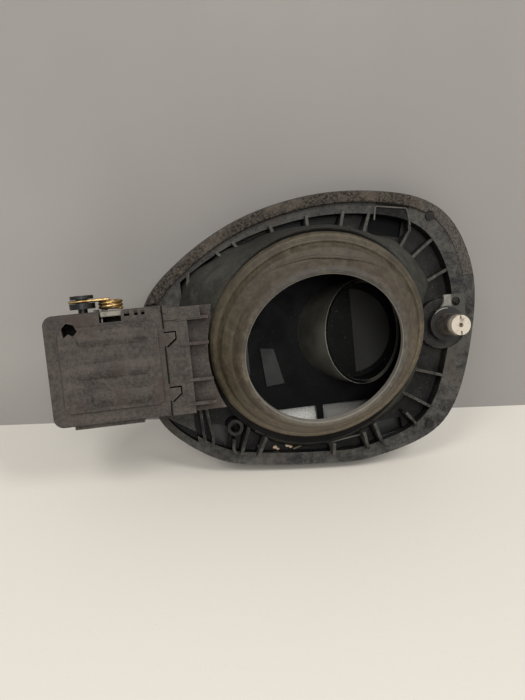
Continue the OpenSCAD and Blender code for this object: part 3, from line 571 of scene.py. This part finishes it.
def cup_finish():
    """The cap holder: satin grey outside, near black within as painted shade, with a pale rubbed lip that is
    partly a painted highlight.
    """
    s = Shader("cap_holder", roughness=0.38, specular=0.12)
    haze = s.between(s.noise(0.014, 6.0, 0.65), 0.35, 0.7)
    outside = s.mix(haze, colour(76, 76, 70), colour(98, 97, 89))
    off = s.vector("MULTIPLY", s.vector("SUBTRACT", s.place, tuple(CUP_MIDDLE)), (1.0, 0.0, 1.0))
    outward = s.vector("DOT_PRODUCT", s.vector("NORMALIZE", off), s.facing())
    # Painted shade: faces that don't face away from the cup's axis, inside it, are near black.
    shade = s.mix(s.between(outward, 0.05, 0.30, 1.0, 0.0), outside, colour(7, 8, 8))
    fine = s.noise(0.0016, 5.0, 0.7)
    shade = s.mix(s.between(fine, 0.60, 0.72, 0.0, 0.5), shade, colour(100, 98, 92))
    # The lip's pale rubbed edge is partly a painted highlight.
    rubbed_and_highlit = s.between(s.corner(0.0009, inside=True), 0.42, 0.75, 0.0, 0.9)
    shade = s.mix(rubbed_and_highlit, shade, colour(176, 174, 166))
    return s.finish(shade, s.between(haze, 0.0, 1.0, 0.34, 0.5), s.bump(fine, 0.00008, 0.5))


def bracket_finish():
    """The latch bracket: near black round the sleeve and dark in its notch, pale grey on its leaf."""
    s = Shader("latch_bracket", roughness=0.5)
    fine = s.noise(0.0018, 6.0, 0.7)
    leaf = s.mix(s.between(fine, 0.35, 0.68), colour(106, 105, 98), colour(134, 132, 124))
    leaf = s.mix(s.between(s.along("X"), 0.0835, 0.0850, 0.0, 0.85), leaf, colour(38, 36, 32))
    dark_round_sleeve = s.between(flat_reach(s, LATCH_AXIS), 0.0100, 0.0112, 1.0, 0.0)
    return s.finish(s.mix(dark_round_sleeve, leaf, colour(30, 27, 26)), None, s.bump(fine, 0.0002, 0.6))


def dress_nodes():
    """Gives every CAD node its finish: its own, or that of the record's material slot."""
    made = {
        "housing_plastic": housing_finish(),
        "cover_plastic": cover_finish(),
        "neck_rubber": ring_finish(),
        "seal_foam": foam_finish(),
        "steel": steel_finish(),
        "spring_wire": wire_finish(),
        "latch_plastic": plain_plastic("latch_plastic", colour(98, 92, 84), colour(48, 42, 36), 0.65),
        "pale_plastic": plain_plastic("pale_plastic", colour(192, 183, 168), colour(92, 80, 68), 0.35),
        "arm_plastic": dark_plastic("arm_plastic", colour(14, 15, 17), colour(30, 31, 33), 0.32),
        "holder_plastic": cup_finish(),
        "body_paint": paint_finish(),
        "stop_rubber": plain_plastic("stop_rubber", colour(16, 16, 16), colour(34, 32, 30), 0.5, 0.8),
    }
    own = {
        "holder_pad": dark_plastic("holder_pad", colour(48, 48, 46), colour(58, 58, 55), 0.5, 0.15),
        "flap_carrier": dark_plastic("flap_carrier", colour(9, 10, 12), colour(20, 21, 23), 0.45, 0.1),
        "neck_bowl": dark_plastic("neck_bowl", colour(16, 16, 17), colour(34, 33, 31), 0.5, 0.1),
        "spring_block": plain_plastic("spring_block", colour(128, 124, 114), colour(72, 66, 58), 0.4),
        "latch_bracket": bracket_finish(),
    }
    for part in frame["record"]["subparts"]:
        node = NODES[part["node"]]
        node.data.materials.clear()
        node.data.materials.append(own.get(part["node"], made[part["material_slot"]]))
    return made


# Pieces that Blender adds

def add_piece(name, mesh, material, body, smooth=True):
    """A piece of the part that rides on a body, or is left without one if none is given."""
    piece = bpy.data.objects.new(name, mesh)
    mesh.materials.clear()
    mesh.materials.append(material)
    for face in mesh.polygons:
        face.use_smooth = smooth
    bpy.context.scene.collection.objects.link(piece)
    if body:
        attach(piece, body)
    return piece


def taken_mesh(name, bm):
    """The mesh of a bmesh, which is freed."""
    mesh = bpy.data.meshes.new(name)
    bm.to_mesh(mesh)
    bm.free()
    return mesh


def loft_mesh(name, loops):
    """A closed mesh through loops of equally many points, with a face at both ends."""
    bm = bmesh.new()
    rings = [[bm.verts.new(point) for point in loop] for loop in loops]
    for low, high in zip(rings, rings[1:]):
        for i in range(len(low)):
            j = (i + 1) % len(low)
            bm.faces.new((low[i], low[j], high[j], high[i]))
    bm.faces.new(reversed(rings[0]))
    bm.faces.new(rings[-1])
    bmesh.ops.recalc_face_normals(bm, faces=bm.faces)
    return taken_mesh(name, bm)


def tube_mesh(name, path, radii, sides):
    """A closed tube along a path of points, with its own radius at each."""
    turns = [2 * math.pi * k / sides for k in range(sides)]
    loops = []
    side = None
    for i, (point, radius) in enumerate(zip(path, radii)):
        ahead = path[min(i + 1, len(path) - 1)] - path[max(i - 1, 0)]
        ahead.normalize()
        side = side - ahead * side.dot(ahead) if side else ahead.orthogonal()
        side.normalize()
        other = ahead.cross(side)
        loops.append([point + (side * math.cos(t) + other * math.sin(t)) * radius for t in turns])
    return loft_mesh(name, loops)


def smooth_path(points, steps):
    """A curve through the points, with steps between each pair."""
    path = []
    last = len(points) - 1
    for i in range(last):
        a, b, c, d = (points[min(max(i + k, 0), last)] for k in (-1, 0, 1, 2))
        for t in (j / steps for j in range(steps)):
            path.append(0.5 * (2 * b + (c - a) * t + (2 * a - 5 * b + 4 * c - d) * t * t
                               + (3 * b - a - 3 * c + d) * t * t * t))
    return path + [points[last]]


def make_spring(material):
    """Over-centre spring: a short leg in the roof, almost three close turns and a long leg hooked round the
    crank. The path is worked out in metres from the coil's foot."""
    coil_at = Vector((-107.3, 15.0, 32.7)) * MM
    coil_r = 5.5 * MM
    wire_r = 0.8 * MM
    pitch = 1.72 * MM
    turns = 2.75
    steps = 24
    leg = coil_at.z + turns * pitch
    hook = ((-112.5, 9.9), (-118.0, 10.2), (-122.0, 10.7), (-125.2, 11.9), (-127.6, 14.0))
    points = [coil_at + Vector((coil_r, -11 * MM, -0.2 * MM)), coil_at + Vector((coil_r, -5 * MM, -0.1 * MM))]
    for i in range(int(turns * steps) + 1):
        angle = 2 * math.pi * i / steps
        round_at = (coil_r * math.cos(angle), coil_r * math.sin(angle), pitch * i / steps)
        points.append(coil_at + Vector(round_at))
    points += [Vector((x * MM, y * MM, leg)) for x, y in hook]
    path = smooth_path(points, 3)
    mesh = tube_mesh("hinge_spring_wire", path, [wire_r] * len(path), 10)
    spring = add_piece("hinge_spring_wire", mesh, material, None)
    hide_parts("hinge_spring")
    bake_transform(spring)


def make_foam(material):
    """The grainy foam strip on the rim, torn and pitted along its surface and worn down towards the latch."""
    # Millimetres by which the coarse grain, the fine grain and the tears move the surface
    coarse, fine, torn_in = 0.30, 0.22, 0.9
    # Where along X the wear starts, over what way it grows, and the share of the height that it takes
    worn_from, worn_over, worn_off = 0.062, 0.030, 0.86
    rough = bpy.data.objects.new("foam_block", NODES["rim_seal"].data.copy())
    bpy.context.scene.collection.objects.link(rough)
    cells = rough.modifiers.new("cells", "REMESH")
    cells.mode = "VOXEL"
    cells.voxel_size = 0.5 * MM
    mesh = bpy.data.meshes.new_from_object(rough.evaluated_get(bpy.context.evaluated_depsgraph_get()))
    bpy.data.objects.remove(rough)
    mesh.name = "foam_strip"
    normals = [v.normal.copy() for v in mesh.vertices]
    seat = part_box("rim_seal")[1][1]
    for vertex, normal in zip(mesh.vertices, normals):
        free = min(1.0, max(0.0, (seat - 0.3 * MM - vertex.co.y) / (0.5 * MM)))
        place = vertex.co * 1000
        lump = coarse * noise.noise(place * 0.9) + fine * noise.noise(place * 2.1 + Vector((5, 0, 0)))
        torn = -torn_in * max(0.0, noise.noise(place * 0.35 + Vector((0, 9, 0))) - 0.25)
        vertex.co += normal * (lump + torn) * free * MM
        worn = min(1.0, max(0.0, (vertex.co.x - worn_from) / worn_over))
        if vertex.co.y < seat - 0.1 * MM:
            vertex.co.y = seat - (seat - vertex.co.y) * (1.0 - worn_off * worn)
    foam = add_piece("foam_strip", mesh, material, "housing")
    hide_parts("rim_seal")


def on_ring(reach, turn, height):
    """A point by its distance from the neck's axis, its turn in degrees and its place along the axis, in
    millimetres."""
    turn = math.radians(turn)
    across = Vector((math.cos(turn), 0, 0)) + NECK_UP * math.sin(turn)
    return (across * reach + NECK_AXIS * height) * MM


def make_ring_fold(material):
    """The crease at the top of the neck ring: a low fold of its rubber that fades out at both ends."""
    stations = [(52.2, 126, -6.9), (51.0, 113, -5.75), (50.1, 100, -5.05), (49.5, 91, -4.5), (49.2, 77, -4.3),
                (50.3, 62, -5.2), (51.6, 48, -6.4)]
    path = smooth_path([on_ring(*station) for station in stations], 12)
    last = len(path) - 1
    radii = [(0.25 + 0.75 * math.sin(math.pi * i / last) ** 0.6) * MM for i in range(last + 1)]
    add_piece("ring_fold", tube_mesh("ring_fold", path, radii, 12), material, "housing")


def skirt_reach(turn):
    """How far in millimetres the slope round the bowl runs out on the channel's floor, by its turn in degrees
    from the latch side up."""
    stops = [(-128, 2.0), (-110, 3.0), (-90, 2.5), (-60, 4.0), (-35, 9.0), (-20, 8.0), (-12, 3.0), (8, 3.0),
             (13, 9.0), (20, 22.0), (30, 21.0), (40, 19.0), (57, 11.0), (67, 8.0), (90, 5.0), (115, 6.0),
             (132, 12.0), (150, 20.0), (160, 20.0), (172, 8.0)]
    for (low, a), (high, b) in zip(stops, stops[1:]):
        if turn <= high:
            share = max(0.0, (turn - low) / (high - low))
            return a + (b - a) * (3 - 2 * share) * share * share
    return stops[-1][1]


def make_skirt(material):
    """The dusty slope from under the neck ring's edge out to the channel's floor, built in millimetres."""
    rows = 10
    floor_y = 45.6
    outer_r, inner_r = 60.35, 58.6
    # The bowl's tilted mouth: its place at the neck's axis, how it slopes with height, the bowl's rise and
    # radius, and how far the slope reaches under the ring
    mouth_y, mouth_slope, bowl_rise, bowl_r, tuck = 17.03, 0.364, 3.5, 60.3, 0.3
    middle = Vector((0, 0, bowl_rise))
    loops = []
    for turn in range(-128, 171, 2):
        out = Vector((math.cos(math.radians(turn)), 0, math.sin(math.radians(turn))))
        top_y = mouth_y - mouth_slope * (bowl_rise + bowl_r * out.z) - tuck
        loop = []
        for i in range(rows + 1):
            share = i / rows
            belly = math.sin(math.pi * share)
            place = middle + out * (outer_r + skirt_reach(turn) * share)
            place.y = top_y + (floor_y - top_y) * (share - 0.10 * belly)
            rough = 0.35 * noise.noise(place * 0.22) * belly
            loop.append((place + out * rough) * MM)
        for y in (floor_y, top_y):
            place = middle + out * inner_r
            place.y = y
            loop.append(place * MM)
        loops.append(loop)
    add_piece("bowl_skirt", loft_mesh("bowl_skirt", loops), material, "housing")


def bar_mesh(name, points, width, low_y, high_y, ease=0.25):
    """An upright rib along points (x, z) in millimetres, from low_y to high_y, with a bevelled top."""
    places = [Vector((x, 0, z)) for x, z in points]
    loops = []
    for i, place in enumerate(places):
        ahead = places[min(i + 1, len(places) - 1)] - places[max(i - 1, 0)]
        ahead.normalize()
        side = Vector((-ahead.z, 0, ahead.x))
        profile = [(-0.5, high_y), (-0.5, low_y + ease), (-0.5 + ease / width, low_y),
                   (0.5 - ease / width, low_y), (0.5, low_y + ease), (0.5, high_y)]
        loops.append([(place + side * width * a + Vector((0, y, 0))) * MM for a, y in profile])
    return loft_mesh(name, loops)


def make_thin_ribs(material):
    """Thin ribs that the photo shows: the upper bay's frame and the tray in the bottom channel. Each is given
    by its points, its width and its lowest and highest Y."""
    ribs = {
        "bay_frame": ([(43.8, 68.5), (45.0, 75.5), (45.8, 76.1), (62.8, 73.8), (63.8, 73.1), (64.9, 64.0)],
                      0.8, 36.1, 37.4),
        "tray_end": ([(-30.6, -48.6), (-35.2, -55.0)], 1.0, 37.2, 45.8),
        "tray_top": ([(-24.0, -52.6), (-10.0, -55.6), (8.0, -57.2), (26.4, -54.9)], 0.9, 38.4, 45.8),
        "tray_side": ([(26.4, -54.9), (28.6, -61.2)], 1.0, 37.4, 45.8),
        "tray_middle": ([(6.8, -57.2), (7.1, -61.6)], 0.9, 38.0, 45.8),
    }
    for name, (points, width, low_y, high_y) in ribs.items():
        mesh = bar_mesh(name, points, width, low_y, high_y)
        add_piece(name, mesh, material, "housing", smooth=False)


def make_block_front():
    """The front of the pale block under the spring's coil, with softened edges."""
    mesh = bar_mesh("block_front", [(-111.8, 30.0), (-101.4, 30.0)], 2.6, 0.9, 4.0, ease=0.35)
    material = NODES["spring_block"].data.materials[0]
    add_piece("block_front", mesh, material, "housing", smooth=False)


def make_leaf_edge(material):
    """The bright worn edge where the latch bracket's leaf is cut round."""
    cut_r = 9.3
    face_y = 30.95
    turns = [math.radians(turn) for turn in (136, 118, 98, 80)]
    points = [LATCH_AXIS + Vector((cut_r * math.cos(t), face_y, cut_r * math.sin(t))) * MM for t in turns]
    path = smooth_path(points, 10)
    last = len(path) - 1
    radii = [(0.12 + 0.22 * math.sin(math.pi * i / last)) * MM for i in range(last + 1)]
    add_piece("leaf_edge", tube_mesh("leaf_edge", path, radii, 10), material, "housing")


def make_arm_foot(material):
    """The arm's foot on the flap's carrier: a low four-sided pad with softened edges, in millimetres."""
    face_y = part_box("flap_carrier")[0][1] / MM
    outline = [(-28.0, 1.5), (-19.5, 0.5), (-14.5, -21.5), (-26.0, -22.5)]
    centre = Vector((sum(x for x, _ in outline) / 4, 0, sum(z for _, z in outline) / 4))
    loops = []
    for shrink, y in ((1.0, face_y + 0.2), (1.0, face_y - 0.5), (0.94, face_y - 0.9)):
        places = [centre + (Vector((x, 0, z)) - centre) * shrink + Vector((0, y, 0)) for x, z in outline]
        loops.append([place * MM for place in places])
    add_piece("arm_foot", loft_mesh("arm_foot", loops), material, "flap", smooth=False)


def lump_mesh(name, size, seed):
    """A small irregular clod."""
    bm = bmesh.new()
    bmesh.ops.create_icosphere(bm, subdivisions=3, radius=1.0)
    shift = Vector((seed * 3.1, seed * 1.7, seed * 2.3))
    for v in bm.verts:
        swell = 1 + 0.45 * noise.noise(v.co * 1.6 + shift) + 0.22 * noise.noise(v.co * 4.2 + shift)
        v.co = Vector((v.co.x * size[0], v.co.y * size[1], v.co.z * size[2])) * swell * MM
    return taken_mesh(name, bm)


def make_litter():
    """Four pale crumbs and a dry stalk that lie in the bottom of the channel."""
    pale = plain_plastic("crumb", colour(230, 206, 178), colour(150, 120, 90), 0.4, 0.9)
    straw = plain_plastic("stalk", colour(150, 142, 118), colour(98, 90, 70), 0.4, 0.8)
    crumbs = (("crumb_left", (-25.0, 44.3, -57.4), (1.3, 1.0, 1.0), 1),
              ("crumb_left_small", (-23.4, 44.6, -58.6), (0.9, 0.8, 0.7), 2),
              ("crumb_right", (-17.2, 44.2, -57.2), (1.5, 1.0, 1.0), 3),
              ("crumb_right_small", (-15.6, 44.6, -58.2), (1.0, 0.8, 0.8), 4))
    for name, at, size, seed in crumbs:
        mesh = lump_mesh(name, size, seed)
        mesh.transform(Matrix.Translation(Vector(at) * MM))
        add_piece(name, mesh, pale, "housing")
    stations = ((-13.9, 44.9, -59.9), (-11.0, 44.2, -58.9), (-8.0, 43.9, -58.0), (-5.4, 44.6, -56.9))
    stalk = smooth_path([Vector(station) * MM for station in stations], 8)
    last = len(stalk) - 1
    radii = [(0.42 - 0.18 * i / last) * MM for i in range(last + 1)]
    add_piece("dry_stalk", tube_mesh("dry_stalk", stalk, radii, 8), straw, "housing")


make_camera()
make_stage()
make_light()
finishes = dress_nodes()
make_spring(finishes["spring_wire"])
make_foam(finishes["seal_foam"])
make_ring_fold(finishes["neck_rubber"])
make_skirt(skirt_finish())
# Painted highlight: the ribs are pale grey all over so that their edges read as light lines.
make_thin_ribs(plain_plastic("rib_edge", colour(92, 89, 82), colour(44, 41, 37), 0.4, 0.6))
make_block_front()
make_leaf_edge(plain_plastic("leaf_edge", colour(150, 147, 138), colour(84, 80, 72), 0.35))
# Painted reflection: the arm's foot is coloured lighter than the carrier.
make_arm_foot(dark_plastic("arm_foot", colour(22, 24, 25), colour(34, 36, 37), 0.4))
make_litter()
